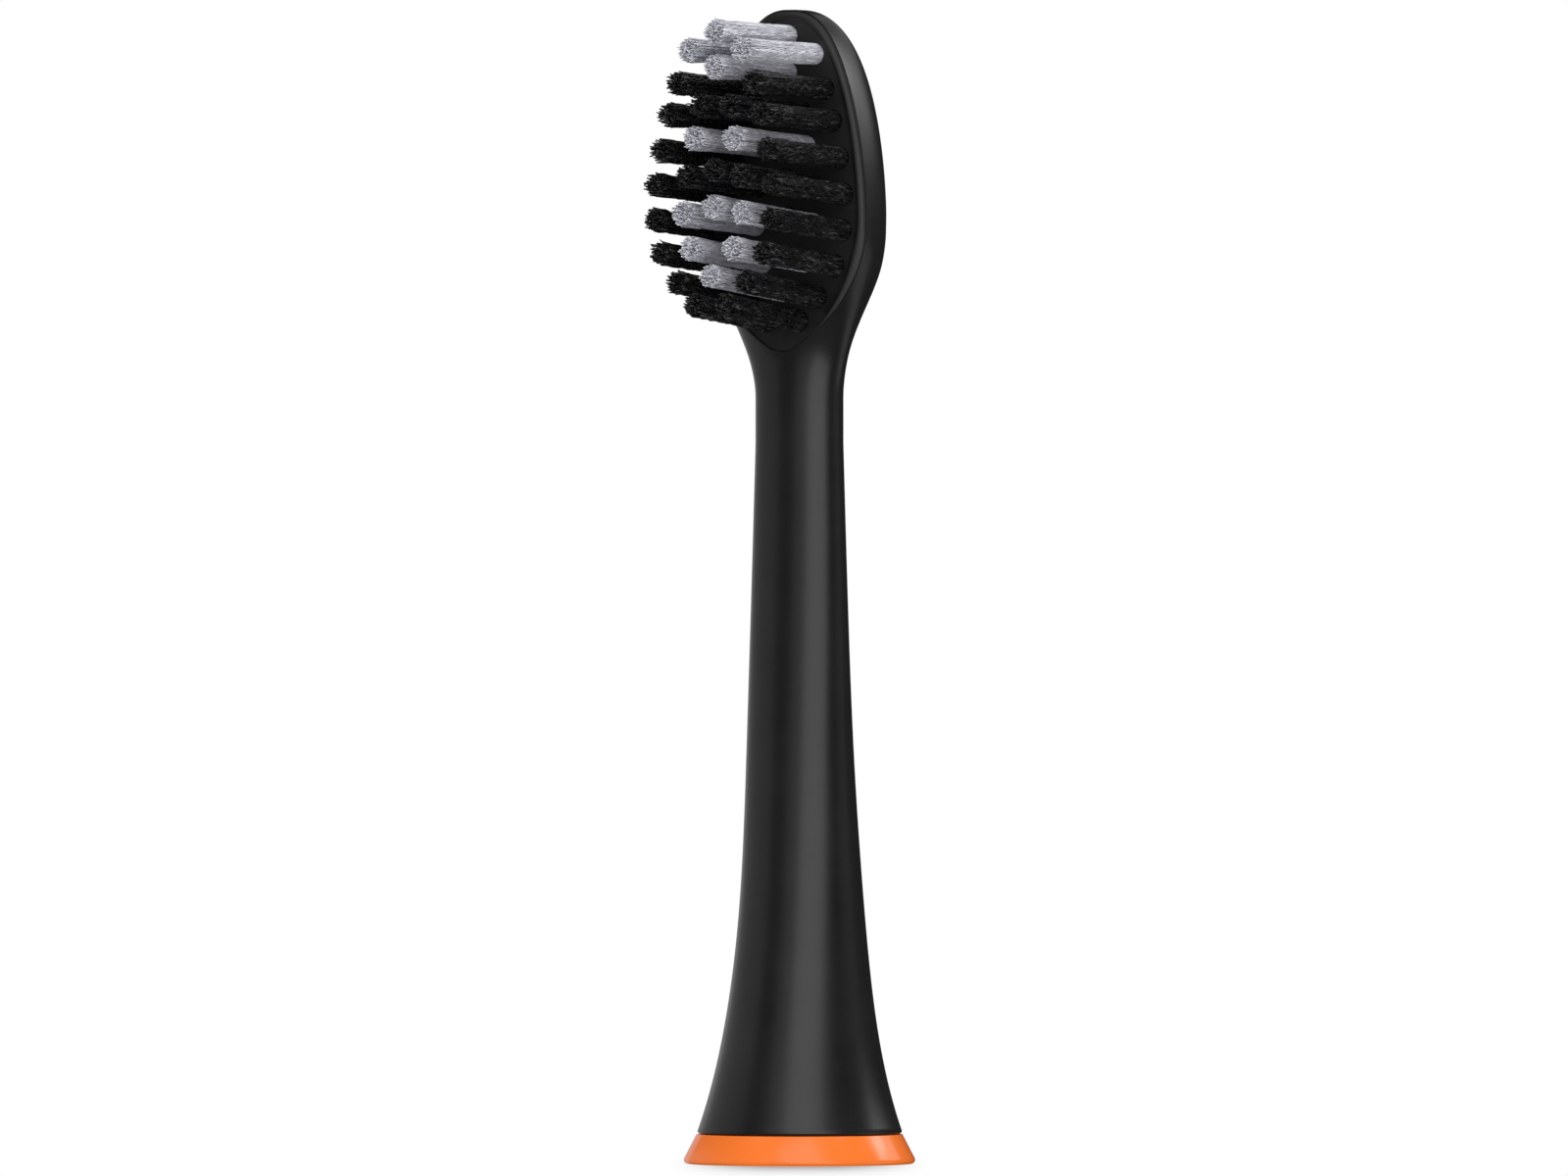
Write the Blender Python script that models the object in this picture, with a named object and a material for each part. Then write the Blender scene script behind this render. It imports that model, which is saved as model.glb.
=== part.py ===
"""Push-on brush head of a sonic toothbrush.

Metres, +Z up along the neck, origin at the centre of the foot ring's underside, bristles towards -Y.
The moulded body takes an oval bristle plate in its head and a drive socket in its skirt. The tufts
pass through the plate and end in melted feet behind it. A snap ring closes the skirt's mouth.
"""

import math

import bmesh
import bpy
from mathutils import Matrix, Vector

MM = 0.001

# Neck and skirt: a slim cone that flares towards the mouth. Its half size is set 30 degrees off its
# width, and from there it is round at the foot and turns oval towards the head.
BODY_BOTTOM = 1.99 * MM
BODY_EDGE = 0.12 * MM
NECK_CONE_SIZE = 4.045 * MM
NECK_CONE_SLOPE = 0.02583
FLARE = 3.435 * MM
FLARE_LENGTH = 8.1 * MM
NECK_LEAST_SIZE = 2.85 * MM
NECK_SIZE_ANGLE = math.radians(30)
OVAL_START = 4.0 * MM
OVAL_FULL = 50.0 * MM
OVAL = 0.46
BOW = 0.30 * MM
BOW_MIDDLE = 16.0 * MM
BOW_SPAN = 9.5 * MM
NECK_LEVELS = 15
NECK_LEVELS_TOP = 48.6 * MM
NECK_LEVELS_POWER = 1.5

# Head: egg-shaped from the front. Each level is an oval round a centre behind the face line, with a
# deep front that the plate's seat cuts flat, and a crowned back.
HEAD_START = 49.6 * MM
HEAD_FULL = 60.3 * MM
HEAD_WIDEST = 61.1 * MM
HEAD_TOP = 74.75 * MM
HEAD_HALF_WIDTH = 6.07 * MM
CENTRE_BEHIND_FACE = 1.55 * MM
FRONT_START = 51.6 * MM
FRONT_FULL = 62.7 * MM
FRONT_DEPTH = 6.20 * MM
BACK_START = 52.2 * MM
BACK_FULL = 58.5 * MM
BACK_DEPTH = 4.14 * MM
BACK_TOP_DEPTH = 0.12 * MM
BACK_POWER = 2.3
CROWN_POWERS = (4.5, 0.56)
UPPER_POWERS = (1.58, 2.5)
LOWER_POWERS = (2.0, 1.42)
SHOULDER_LEVELS = 12
CROWN_LEVELS = 10
CROWN_END = math.radians(85.5)

# Face line: where the bristle plate's rim lies, slightly dished from top to bottom
FACE_TOP = 74.54 * MM
FACE_TOP_Y = -1.60 * MM
FACE_SLOPE = 0.012
FACE_DISH = 0.00114 / MM

# Bristle plate
PLATE_HALF_WIDTH = 5.92 * MM
PLATE_TOP = 74.64 * MM
PLATE_TIP = 52.62 * MM
PLATE_TIP_SHARE = 1.25
RIM_HEIGHT = 0.12 * MM
FLANGE_BACK = 0.30 * MM
FIELD_INSET = 0.64 * MM
RIM_PROFILE = (
    (0.56 * MM, 0.10 * MM), (0.45 * MM, 0.0), (0.28 * MM, 0.03 * MM), (0.12 * MM, 0.12 * MM),
    (0.0, 0.27 * MM), (0.0, FLANGE_BACK),
)
SPIGOT_INSET = 0.42 * MM
PLATE_BACK = 1.15 * MM

# Tufts
TUFT_RADIUS = 0.66 * MM
TUFT_HOLE_RADIUS = 0.72 * MM
HOLE_REACH = 3.0 * MM
TUFT_LENGTH = 9.60 * MM
TUFT_TIP_ROUND = 0.22 * MM
TUFT_TIP_RADIUS = 0.48 * MM
FOOT_RADIUS = 0.80 * MM
FOOT_THICKNESS = 0.40 * MM
TILT_START = 73.5 * MM
TILT_RATE = math.radians(0.305) / MM

# Tuft places as (half spacing across, height), millimetres, each pair mirrored over the middle
SILVER_PAIRS = ((1.98, 71.85), (1.47, 65.87), (2.20, 60.80), (1.58, 58.40))
SILVER_MIDDLE = (73.06, 70.68, 61.20, 56.50)
BLACK_PAIRS = (
    (2.79, 69.60), (1.10, 68.07), (3.41, 67.50), (3.96, 65.10), (2.00, 63.30),
    (4.32, 62.75), (4.29, 60.40), (3.81, 58.10), (2.54, 56.10), (1.20, 54.55),
)
BLACK_MIDDLE = (63.70,)

# Snap ring
RING_RADIUS = 7.50 * MM
RING_TOP_RADIUS = 6.70 * MM
RING_HEIGHT = 1.87 * MM
RING_BORE = 4.40 * MM
RING_FOOT_BEVEL = 0.25 * MM
RING_ROUND = 0.28 * MM
RING_LIP = 0.10 * MM
COLLAR_RADIUS = 5.03 * MM
COLLAR_TOP = 4.20 * MM
COLLAR_STEP = 0.25 * MM
SNAP_BEAD = 0.08 * MM

# Mouth of the skirt and the bore above it
MOUTH_RADIUS = 5.20 * MM
MOUTH_DEPTH_Z = 4.45 * MM
FLANGE_SEAT_RADIUS = 4.42 * MM
FLANGE_SEAT_Z = 6.05 * MM
SOCKET_BORE = 2.92 * MM
SOCKET_BORE_TOP = 19.20 * MM

# Drive socket
SOCKET_RADIUS = 2.80 * MM
SOCKET_FLANGE_RADIUS = 4.28 * MM
SOCKET_BOTTOM = 4.80 * MM
SOCKET_FLANGE_TOP = 5.90 * MM
SOCKET_TOP = 18.90 * MM
SHAFT_BORE = 2.05 * MM
SHAFT_FLAT_Y = 1.45 * MM
SHAFT_BORE_TOP = 17.00 * MM
LEAD_IN = 0.45 * MM
SOCKET_TOP_BEVEL = 0.3 * MM
FLANGE_BEVEL = 0.1 * MM
KEY_WIDTH = 0.90 * MM
KEY_RADIUS = 3.20 * MM
KEY_TOP = 12.0 * MM
KEY_ROOT = 0.3 * MM

# Shaft clip: a bent leaf that presses on the flat of the drive shaft
CLIP_WIDTH = 1.90 * MM
CLIP_THICKNESS = 0.24 * MM
CLIP_Y = 2.12 * MM
CLIP_BOTTOM = 7.50 * MM
CLIP_TOP = 18.00 * MM
CLIP_HUMP_Z = 10.0 * MM
CLIP_HUMP = 0.72 * MM
CLIP_HUMP_HALF = 1.9 * MM
CLIP_STEPS = 14
WINDOW_BOTTOM = 6.90 * MM
WINDOW_TOP = 16.80 * MM
WINDOW_FRONT_Y = 0.5 * MM
WINDOW_BACK_Y = 4.0 * MM
SLIT_GAP = 0.08 * MM

# Gaps between pieces that meet
GAP = 0.10 * MM
RIM_BREAKOUT = 0.50 * MM
BREAKOUT_START = 55.0 * MM
BREAKOUT_LENGTH = 2.5 * MM
RECESS_BACK = 1.95 * MM

AROUND = 40
OUTLINE_POINTS = 56
TUFT_SIDES = 10
HOLE_SIDES = 12
FAR = 20 * MM


def clear_scene():
    for obj in list(bpy.data.objects):
        bpy.data.objects.remove(obj, do_unlink=True)


def plastic(name, colour, roughness, metallic=0.0):
    material = bpy.data.materials.new(name)
    material.use_nodes = True
    shader = material.node_tree.nodes["Principled BSDF"]
    shader.inputs["Base Color"].default_value = (*colour, 1.0)
    shader.inputs["Roughness"].default_value = roughness
    shader.inputs["Metallic"].default_value = metallic
    material.diffuse_color = (*colour, 1.0)
    return material


def add_object(name, bm, material=None):
    bmesh.ops.recalc_face_normals(bm, faces=bm.faces)
    mesh = bpy.data.meshes.new(name)
    bm.to_mesh(mesh)
    bm.free()
    mesh.shade_smooth()
    mesh.set_sharp_from_angle(angle=math.radians(35))
    obj = bpy.data.objects.new(name, mesh)
    bpy.context.scene.collection.objects.link(obj)
    if material:
        mesh.materials.append(material)
    return obj


def cut(obj, cutter, operation="DIFFERENCE"):
    cutter.hide_render = True
    cutter.display_type = "WIRE"
    modifier = obj.modifiers.new(cutter.name, "BOOLEAN")
    modifier.operation = operation
    modifier.solver = "EXACT"
    modifier.object = cutter


def smoothstep(share):
    share = min(max(share, 0.0), 1.0)
    return share * share * (3 - 2 * share)


def mix(a, b, share):
    return a + (b - a) * share


# ---- shapes shared by several pieces -------------------------------------------------------------

def loop_of(bm, points):
    return [bm.verts.new(point) for point in points]


def bridge(bm, first, second):
    count = len(first)
    for i in range(count):
        j = (i + 1) % count
        bm.faces.new((first[i], first[j], second[j], second[i]))


def lofted(loops):
    """A closed solid through equal loops of points, with flat ends."""
    bm = bmesh.new()
    made = [loop_of(bm, loop) for loop in loops]
    for first, second in zip(made, made[1:]):
        bridge(bm, first, second)
    bm.faces.new(made[0])
    bm.faces.new(made[-1])
    return bm


def turned(profile, sides=AROUND):
    """A profile of (radius, height) points turned about Z. Off the axis it is a closed loop."""
    bm = bmesh.new()
    points = [Vector((radius, 0, z)) for radius, z in profile]
    on_axis = min(radius for radius, _ in profile) == 0
    verts = loop_of(bm, points)
    pairs = list(zip(verts, verts[1:]))
    if not on_axis:
        pairs.append((verts[-1], verts[0]))
    edges = [bm.edges.new(pair) for pair in pairs]
    bmesh.ops.spin(
        bm, geom=verts + edges, axis=(0, 0, 1), cent=(0, 0, 0), angle=2 * math.pi,
        steps=sides, use_merge=True, use_duplicate=False,
    )
    bmesh.ops.remove_doubles(bm, verts=bm.verts, dist=1e-7)
    return bm


def block(low, high):
    bm = bmesh.new()
    size = [b - a for a, b in zip(low, high)]
    middle = [(a + b) / 2 for a, b in zip(low, high)]
    bmesh.ops.create_cube(bm, size=1.0, matrix=Matrix.Translation(middle) @ Matrix.Diagonal((*size, 1.0)))
    return bm


def ladder(bm, loop):
    """Fills a loop that is symmetric over X = 0 and starts at its top, with strips across X."""
    count = len(loop)
    half = count // 2
    bm.faces.new((loop[0], loop[1], loop[-1]))
    for i in range(1, half - 1):
        bm.faces.new((loop[i], loop[i + 1], loop[count - i - 1], loop[count - i]))
    bm.faces.new((loop[half - 1], loop[half], loop[half + 1]))


def oval_solid(rings):
    """A closed solid through outline rings, each (outline points, depth behind the face line)."""
    bm = bmesh.new()
    made = [loop_of(bm, [(x, depth(z), z) for x, z in outline]) for outline, depth in rings]
    for first, second in zip(made, made[1:]):
        bridge(bm, first, second)
    ladder(bm, made[0])
    ladder(bm, made[-1])
    return bm


# ---- the head's curves ---------------------------------------------------------------------------

def face_y(z):
    below = FACE_TOP - z
    return FACE_TOP_Y - FACE_SLOPE * below - FACE_DISH * below * below


def behind_face(distance):
    return lambda z: face_y(z) + distance


def plate_outline(inset=0.0, widen=None):
    """(x, z) points of the plate's egg shape, from its top clockwise, moved inwards by inset."""
    half_width = PLATE_HALF_WIDTH - inset
    top = PLATE_TOP - inset
    tip = PLATE_TIP + PLATE_TIP_SHARE * inset
    quarter = OUTLINE_POINTS // 4
    right = []
    for i in range(2 * quarter + 1):
        angle = math.pi / 2 * (1 - i / quarter)
        powers = UPPER_POWERS if angle >= 0 else LOWER_POWERS
        reach = top - HEAD_WIDEST if angle >= 0 else HEAD_WIDEST - tip
        along = math.copysign(abs(math.sin(angle)) ** (2 / powers[0]), angle)
        across = max(math.cos(angle), 0.0) ** (2 / powers[1])
        z = HEAD_WIDEST + reach * along
        x = half_width * across
        if widen and 0 < i < 2 * quarter:
            x += widen(z)
        right.append((x, z))
    right[0] = (0.0, top + (widen(top) if widen else 0.0))
    right[-1] = (0.0, tip - (widen(tip) if widen else 0.0))
    left = [(-x, z) for x, z in right[-2:0:-1]]
    return right + left


def rim_clearance(z):
    """The plate's seat is a close pocket at the tip, and runs out through the sides above it."""
    return GAP + RIM_BREAKOUT * smoothstep((z - BREAKOUT_START) / BREAKOUT_LENGTH)


# ---- moulded body --------------------------------------------------------------------------------

def neck_half_axes(z):
    """Half width and half depth of the neck."""
    size = NECK_CONE_SIZE - NECK_CONE_SLOPE * z + FLARE * math.exp(-z / FLARE_LENGTH)
    size = max(size, NECK_LEAST_SIZE)
    ratio = 1 + OVAL * smoothstep((z - OVAL_START) / (OVAL_FULL - OVAL_START))
    depth = size / math.hypot(ratio * math.cos(NECK_SIZE_ANGLE), math.sin(NECK_SIZE_ANGLE))
    return ratio * depth, depth


def body_section(z):
    """One level of the body: an oval at the neck, and at the head a wider one with a deeper front."""
    neck_width, neck_depth = neck_half_axes(z)
    bow = BOW * math.exp(-(((z - BOW_MIDDLE) / BOW_SPAN) ** 2))
    above = max(0.0, (z - HEAD_WIDEST) / (HEAD_TOP - HEAD_WIDEST))
    narrowing = (1 - above ** UPPER_POWERS[0]) ** (1 / UPPER_POWERS[1])
    crown = (1 - above ** CROWN_POWERS[0]) ** CROWN_POWERS[1]
    head_share = smoothstep((z - HEAD_START) / (HEAD_FULL - HEAD_START))
    front_share = smoothstep((z - FRONT_START) / (FRONT_FULL - FRONT_START))
    back_share = smoothstep((z - BACK_START) / (BACK_FULL - BACK_START))
    half_width = mix(neck_width, HEAD_HALF_WIDTH, head_share) * narrowing
    centre = mix(bow, face_y(z) + CENTRE_BEHIND_FACE, head_share)
    front = mix(neck_depth, FRONT_DEPTH, front_share)
    back = mix(neck_depth, BACK_DEPTH * crown + BACK_TOP_DEPTH, back_share)
    back_power = mix(2.0, BACK_POWER, back_share)
    points = []
    for i in range(AROUND):
        angle = 2 * math.pi * i / AROUND
        c, s = math.cos(angle), math.sin(angle)
        depth, power = (back, back_power) if s >= 0 else (front, 2.0)
        x = half_width * math.copysign(abs(c) ** (2 / power), c)
        y = centre + depth * math.copysign(abs(s) ** (2 / power), s)
        points.append((x, y, z))
    return points


def shrunk(section, inset, z):
    """A section moved inwards by about inset and down to z."""
    scale = 1 - inset / max(x for x, _, _ in section)
    return [(x * scale, y * scale, z) for x, y, _ in section]


def body_loops():
    lowest = body_section(BODY_BOTTOM + BODY_EDGE)
    edge = [
        shrunk(lowest, BODY_EDGE, BODY_BOTTOM),
        shrunk(lowest, BODY_EDGE / 4, BODY_BOTTOM + BODY_EDGE / 3),
    ]
    neck_span = NECK_LEVELS_TOP - BODY_BOTTOM - BODY_EDGE
    shares = [(i / NECK_LEVELS) ** NECK_LEVELS_POWER for i in range(NECK_LEVELS + 1)]
    neck = [body_section(NECK_LEVELS_TOP - neck_span * (1 - share)) for share in shares]
    shoulder_shares = [i / SHOULDER_LEVELS for i in range(SHOULDER_LEVELS + 1)]
    shoulder = [body_section(mix(HEAD_START, HEAD_WIDEST, share)) for share in shoulder_shares]
    crown_angles = [CROWN_END * i / CROWN_LEVELS for i in range(1, CROWN_LEVELS + 1)]
    crown_shares = [math.sin(angle) ** (2 / UPPER_POWERS[0]) for angle in crown_angles]
    crown = [body_section(mix(HEAD_WIDEST, HEAD_TOP, share)) for share in crown_shares]
    return edge + neck + shoulder + crown


def skirt_cavity():
    profile = (
        (0, 0),
        (MOUTH_RADIUS, 0),
        (MOUTH_RADIUS, MOUTH_DEPTH_Z),
        (FLANGE_SEAT_RADIUS, MOUTH_DEPTH_Z),
        (FLANGE_SEAT_RADIUS, FLANGE_SEAT_Z),
        (SOCKET_BORE, FLANGE_SEAT_Z),
        (SOCKET_BORE, SOCKET_BORE_TOP),
        (0, SOCKET_BORE_TOP),
    )
    return turned(profile)


def key_block(clearance):
    half = KEY_WIDTH / 2 + clearance
    low = (-half, -KEY_RADIUS - clearance, SOCKET_FLANGE_TOP - KEY_ROOT)
    high = (half, -SHAFT_BORE - KEY_ROOT, KEY_TOP + clearance)
    return block(low, high)


def face_cutter(outline, distance):
    """A cutter that reaches from far in front of the head to a distance behind its face line."""
    return oval_solid([(outline, behind_face(-FAR)), (outline, behind_face(distance))])


def make_body():
    material = plastic("body_plastic", (0.012, 0.012, 0.013), 0.38)
    body = add_object("brush_body", lofted(body_loops()), material)
    cut(body, add_object("cutter_skirt_cavity", skirt_cavity()))
    cut(body, add_object("cutter_keyway", key_block(GAP)))
    seat = plate_outline(widen=rim_clearance)
    cut(body, add_object("cutter_plate_seat", face_cutter(seat, FLANGE_BACK + GAP)))
    recess = plate_outline(SPIGOT_INSET - GAP)
    cut(body, add_object("cutter_head_recess", face_cutter(recess, RECESS_BACK)))


# ---- bristle plate and tufts ---------------------------------------------------------------------

def tuft_axis(x, z):
    """The tuft's root on the plate's field and the direction in which its bristles point."""
    tilt = max(0.0, TILT_START - z) * TILT_RATE
    root = Vector((x, face_y(z) + RIM_HEIGHT, z))
    return root, Vector((0.0, -math.cos(tilt), math.sin(tilt)))


def along_axis(root, direction, stations, sides):
    """A closed round solid along an axis, through (distance, radius) stations."""
    side = Vector((1, 0, 0))
    up = direction.cross(side)
    loops = []
    for distance, radius in stations:
        centre = root + direction * distance
        angles = [2 * math.pi * (i + 0.5) / sides for i in range(sides)]
        loops.append([centre + radius * (side * math.cos(a) + up * math.sin(a)) for a in angles])
    return lofted(loops)


def tuft_places(colour, pairs, middle):
    """(name, x, z) of one colour's tufts, numbered from the top and from -X."""
    spots = [(x * side, z) for x, z in pairs for side in (-1, 1)] + [(0.0, z) for z in middle]
    spots.sort(key=lambda spot: (-spot[1], spot[0]))
    return [(f"tuft_{colour}_{i + 1:02d}", x * MM, z * MM) for i, (x, z) in enumerate(spots)]


def make_tuft(name, material, x, z):
    foot_front = PLATE_BACK - RIM_HEIGHT + GAP
    stations = (
        (-foot_front - FOOT_THICKNESS, FOOT_RADIUS),
        (-foot_front, FOOT_RADIUS),
        (-foot_front, TUFT_RADIUS),
        (TUFT_LENGTH - TUFT_TIP_ROUND, TUFT_RADIUS),
        (TUFT_LENGTH, TUFT_TIP_RADIUS),
    )
    root, direction = tuft_axis(x, z)
    add_object(name, along_axis(root, direction, stations, TUFT_SIDES), material)


def make_tufts(silver_places, black_places):
    silver = plastic("silver_nylon", (0.36, 0.36, 0.39), 0.45)
    for name, x, z in silver_places:
        make_tuft(name, silver, x, z)
    black = plastic("black_nylon", (0.010, 0.010, 0.011), 0.45)
    for name, x, z in black_places:
        make_tuft(name, black, x, z)


def make_plate(places):
    rings = [(plate_outline(FIELD_INSET), behind_face(RIM_HEIGHT))]
    rings += [(plate_outline(inset), behind_face(depth)) for inset, depth in RIM_PROFILE]
    rings += [
        (plate_outline(SPIGOT_INSET), behind_face(FLANGE_BACK)),
        (plate_outline(SPIGOT_INSET), behind_face(PLATE_BACK)),
    ]
    material = plastic("plate_plastic", (0.010, 0.010, 0.010), 0.55)
    plate = add_object("bristle_plate", oval_solid(rings), material)
    holes = bmesh.new()
    for _, x, z in places:
        root, direction = tuft_axis(x, z)
        ends = ((-HOLE_REACH, TUFT_HOLE_RADIUS), (HOLE_REACH, TUFT_HOLE_RADIUS))
        one = along_axis(root, direction, ends, HOLE_SIDES)
        mesh = bpy.data.meshes.new("hole")
        one.to_mesh(mesh)
        one.free()
        holes.from_mesh(mesh)
        bpy.data.meshes.remove(mesh)
    cut(plate, add_object("cutter_tuft_holes", holes))


# ---- ring, drive socket and clip -----------------------------------------------------------------

def arc(centre, radius, start, end, steps):
    """(radius, height) points of an arc from start to end, in radians."""
    angles = [mix(start, end, i / steps) for i in range(steps + 1)]
    return [(centre[0] + radius * math.cos(a), centre[1] + radius * math.sin(a)) for a in angles]


def make_ring():
    side_facing = math.atan2(RING_RADIUS - RING_TOP_RADIUS, RING_HEIGHT - RING_ROUND)
    foot = (RING_RADIUS - RING_ROUND, RING_ROUND)
    lip = (RING_TOP_RADIUS - RING_LIP, RING_HEIGHT - RING_LIP)
    profile = [(RING_BORE + RING_FOOT_BEVEL, 0.0)]
    profile += arc(foot, RING_ROUND, -math.pi / 2, side_facing, 5)
    profile += arc(lip, RING_LIP, side_facing, math.pi / 2, 2)
    profile += [
        (COLLAR_RADIUS, RING_HEIGHT),
        (COLLAR_RADIUS, COLLAR_TOP - 3 * COLLAR_STEP),
        (COLLAR_RADIUS + SNAP_BEAD, COLLAR_TOP - 2 * COLLAR_STEP),
        (COLLAR_RADIUS, COLLAR_TOP - COLLAR_STEP),
        (COLLAR_RADIUS - COLLAR_STEP / 2, COLLAR_TOP),
        (RING_BORE, COLLAR_TOP),
        (RING_BORE, RING_FOOT_BEVEL),
    ]
    add_object("colour_ring", turned(profile), plastic("ring_plastic", (1.0, 0.26, 0.085), 0.35))


def shaft_bore():
    """The D-shaped hole for the drive shaft, open at the bottom."""
    flat_angle = math.asin(SHAFT_FLAT_Y / SHAFT_BORE)
    sweep = math.pi + 2 * flat_angle
    steps = AROUND // 2
    angles = [flat_angle - sweep * i / steps for i in range(steps + 1)]
    outline = [(SHAFT_BORE * math.cos(a), SHAFT_BORE * math.sin(a)) for a in angles]
    return lofted([[(x, y, z) for x, y in outline] for z in (0.0, SHAFT_BORE_TOP)])


def socket_profile():
    return (
        (0, SOCKET_TOP),
        (SOCKET_RADIUS - SOCKET_TOP_BEVEL, SOCKET_TOP),
        (SOCKET_RADIUS, SOCKET_TOP - SOCKET_TOP_BEVEL),
        (SOCKET_RADIUS, SOCKET_FLANGE_TOP),
        (SOCKET_FLANGE_RADIUS, SOCKET_FLANGE_TOP),
        (SOCKET_FLANGE_RADIUS, SOCKET_BOTTOM + FLANGE_BEVEL),
        (SOCKET_FLANGE_RADIUS - FLANGE_BEVEL, SOCKET_BOTTOM),
        (0, SOCKET_BOTTOM),
    )


def lead_in_cone():
    """A 45-degree cone that widens the bore's lower end by LEAD_IN."""
    low = SOCKET_BOTTOM - LEAD_IN
    high = SOCKET_BOTTOM + 2 * LEAD_IN
    bottom_radius = SHAFT_BORE + 2 * LEAD_IN
    top_radius = SHAFT_BORE - LEAD_IN
    return turned(((0, low), (bottom_radius, low), (top_radius, high), (0, high)))


def make_socket():
    material = plastic("socket_plastic", (0.62, 0.62, 0.60), 0.5)
    socket = add_object("drive_socket", turned(socket_profile()), material)
    cut(socket, add_object("cutter_socket_key", key_block(0.0)), "UNION")
    cut(socket, add_object("cutter_shaft_bore", shaft_bore()))
    cut(socket, add_object("cutter_lead_in", lead_in_cone()))
    half = CLIP_WIDTH / 2 + GAP
    window = block((-half, WINDOW_FRONT_Y, WINDOW_BOTTOM), (half, WINDOW_BACK_Y, WINDOW_TOP))
    cut(socket, add_object("cutter_clip_window", window))
    slit_half = CLIP_THICKNESS / 2 + SLIT_GAP
    slit_low = (-half, CLIP_Y - slit_half, WINDOW_TOP - CLIP_THICKNESS)
    slit_high = (half, CLIP_Y + slit_half, CLIP_TOP + GAP)
    cut(socket, add_object("cutter_clip_slit", block(slit_low, slit_high)))


def clip_line(z):
    """Y of the leaf's middle: straight at the top, a hump towards the shaft, and a flared lower end."""
    hump = math.cos(math.pi / 2 * min(abs(z - CLIP_HUMP_Z) / CLIP_HUMP_HALF, 1.0)) ** 2
    return CLIP_Y - CLIP_HUMP * hump


def make_clip():
    bend_top = CLIP_HUMP_Z + CLIP_HUMP_HALF
    levels = [mix(CLIP_BOTTOM, bend_top, i / CLIP_STEPS) for i in range(CLIP_STEPS + 1)] + [CLIP_TOP]
    pivot = Vector((0.0, CLIP_Y, WINDOW_TOP))
    half = CLIP_WIDTH / 2
    step = CLIP_THICKNESS / 10
    loops = []
    for z in levels:
        rise = clip_line(z + step) - clip_line(z - step)
        normal = Vector((0, 2 * step, -rise)).normalized() * CLIP_THICKNESS / 2
        middle = Vector((0, clip_line(z), z)) - pivot
        corners = ((-half, -1), (half, -1), (half, 1), (-half, 1))
        loops.append([middle + Vector((x, 0, 0)) + normal * side for x, side in corners])
    clip = add_object("shaft_clip", lofted(loops), plastic("spring_steel", (0.56, 0.57, 0.58), 0.28, 1.0))
    clip.location = pivot


def main():
    clear_scene()
    silver_places = tuft_places("silver", SILVER_PAIRS, SILVER_MIDDLE)
    black_places = tuft_places("black", BLACK_PAIRS, BLACK_MIDDLE)
    make_body()
    make_plate(silver_places + black_places)
    make_tufts(silver_places, black_places)
    make_ring()
    make_socket()
    make_clip()


main()
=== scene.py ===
"""Looks of the sonic toothbrush brush head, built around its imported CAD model.

Metres, in the CAD's own frame: +Z up along the neck, bristles towards -Y, foot ring on z = 0.
"""

import math
import random

import bmesh
import bpy
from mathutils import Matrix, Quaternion, Vector


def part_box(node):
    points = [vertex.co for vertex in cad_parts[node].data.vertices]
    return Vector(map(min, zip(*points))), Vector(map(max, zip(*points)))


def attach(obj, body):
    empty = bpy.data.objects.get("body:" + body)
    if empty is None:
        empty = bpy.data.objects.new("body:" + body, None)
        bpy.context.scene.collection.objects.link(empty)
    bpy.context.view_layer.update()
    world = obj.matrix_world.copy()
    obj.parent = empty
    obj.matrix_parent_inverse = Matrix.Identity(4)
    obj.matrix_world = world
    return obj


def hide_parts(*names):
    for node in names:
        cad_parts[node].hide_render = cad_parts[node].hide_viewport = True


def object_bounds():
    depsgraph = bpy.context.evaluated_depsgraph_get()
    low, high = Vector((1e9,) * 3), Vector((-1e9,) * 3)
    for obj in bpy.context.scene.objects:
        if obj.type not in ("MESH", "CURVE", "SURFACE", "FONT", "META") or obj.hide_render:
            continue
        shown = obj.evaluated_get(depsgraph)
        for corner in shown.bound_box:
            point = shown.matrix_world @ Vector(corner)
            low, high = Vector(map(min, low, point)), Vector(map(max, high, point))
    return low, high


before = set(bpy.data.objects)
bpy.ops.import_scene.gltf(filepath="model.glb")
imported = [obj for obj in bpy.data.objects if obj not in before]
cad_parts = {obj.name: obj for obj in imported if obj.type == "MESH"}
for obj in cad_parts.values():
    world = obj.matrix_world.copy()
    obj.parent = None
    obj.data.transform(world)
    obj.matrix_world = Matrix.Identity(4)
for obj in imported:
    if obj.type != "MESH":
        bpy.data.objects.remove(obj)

cad_low, cad_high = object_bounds()

MM = 0.001
HEAD_BODY = "brush_head"
RING_BODY = "colour_ring"

# Camera and its framing
VIEW_AZIMUTH = 30.0
VIEW_DISTANCE = 1.40
VIEW_WIDTH = 101.6 * MM
VIEW_HEIGHT_Z = 37.3 * MM
VIEW_LEFT_SHIFT = 1.0 * MM
SENSOR = 36.0

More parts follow.
